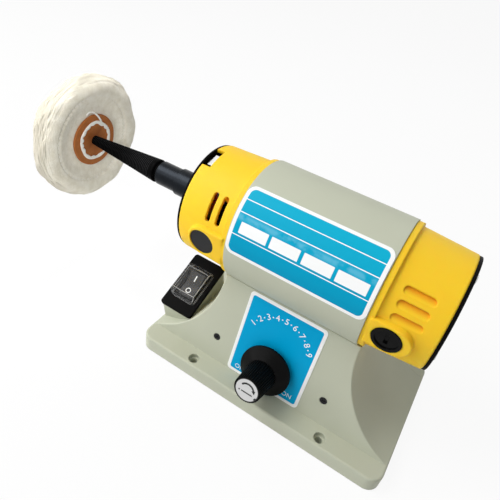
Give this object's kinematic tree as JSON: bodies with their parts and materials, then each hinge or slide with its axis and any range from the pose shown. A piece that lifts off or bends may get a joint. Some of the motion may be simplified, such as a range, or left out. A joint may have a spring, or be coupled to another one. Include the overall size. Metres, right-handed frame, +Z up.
{
  "type": "bench polisher",
  "caption": "Bench polisher: brushed motor on a scooped pedestal turns a tapered spindle with a stitched cloth buff; rocker switch, speed knob, yellow end caps.",
  "frame": {"origin": "centre of the foot's underside, which is the centre of the bench bolt pattern", "axes": "X along the motor axis with the spindle towards -X, -Y towards the operator, +Z up"},
  "size_m": [0.313, 0.1286, 0.1599],
  "materials": {
    "base_grey": "fine satin moulded texture",
    "cap_yellow": "semi-gloss moulded",
    "black_plastic": "satin moulded",
    "clear_cover": "clear soft plastic",
    "label_print": "printed film",
    "steel": "plated",
    "black_steel": "black oxide",
    "bright_alloy": "bright",
    "laminations": "varnished sheet edges",
    "copper": "enamelled wire and bare bars",
    "carbon": "pressed carbon",
    "board_green": "lacquered board",
    "film_yellow": "moulded box",
    "cotton": "stitched muslin plies",
    "leather_brown": "cut and stitched"
  },
  "bodies": {
    "base": {"base_shell": "base_grey", "bottom_cover": "base_grey", "motor_housing": "base_grey", "drive_end_cap": "cap_yellow", "brush_end_cap": "cap_yellow", "drive_end_plate": "black_plastic", "brush_end_plate": "black_plastic", "brush_caps": "black_plastic", "cap_plugs": "black_plastic", "switch_plate": "black_plastic", "switch_body": "black_plastic", "cord_gland": "black_plastic", "gland_nut": "black_plastic", "brush_holders": "black_plastic", "potentiometer": "black_plastic", "triac": "black_plastic", "board_spacers": "black_plastic", "switch_cover": "clear_cover", "housing_label": "label_print", "panel_label": "label_print", "cover_screws": "steel", "housing_screws": "steel", "housing_washers": "steel", "drive_end_screws": "steel", "brush_end_screws": "steel", "through_bolts": "steel", "front_bearing_outer_race": "steel", "front_bearing_balls": "steel", "rear_bearing_outer_race": "steel", "rear_bearing_balls": "steel", "brush_springs": "steel", "panel_screws": "steel", "board_nuts": "steel", "pot_nut": "steel", "switch_terminals": "steel", "bearing_bracket": "bright_alloy", "heat_sink": "bright_alloy", "stator_core": "laminations", "field_coils": "copper", "carbon_brushes": "carbon", "speed_board": "board_green", "film_capacitor": "film_yellow"},
    "rotor": {"armature_shaft": "steel", "armature_core": "laminations", "armature_winding": "copper", "commutator": "copper", "cooling_fan": "black_plastic", "front_bearing_inner_race": "steel", "rear_bearing_inner_race": "steel", "adapter_sleeve": "black_steel", "grub_screws": "steel", "tapered_spindle": "black_steel", "buff_cloth": "cotton", "leather_discs": "leather_brown"},
    "knob": {"speed_knob": "black_plastic", "knob_cap": "bright_alloy", "pot_shaft": "steel"},
    "rocker": {"switch_rocker": "black_plastic"}
  },
  "joints": [
    {"name": "spindle_spin", "type": "hinge", "parent": "base", "child": "rotor", "pos_m": [0, 0, 0.1113], "axis": [1, 0, 0], "continuous": true},
    {"name": "speed_knob_turn", "type": "hinge", "parent": "base", "child": "knob", "pos_m": [0, -0.03867, 0.02988], "axis": [0, -0.972, 0.2351], "range_deg": [-30, 270]},
    {"name": "rocker_tilt", "type": "hinge", "parent": "base", "child": "rocker", "pos_m": [-0.082, -0.01597, 0.03875], "axis": [-1, 0, 0], "range_deg": [0, 18]}
  ]
}
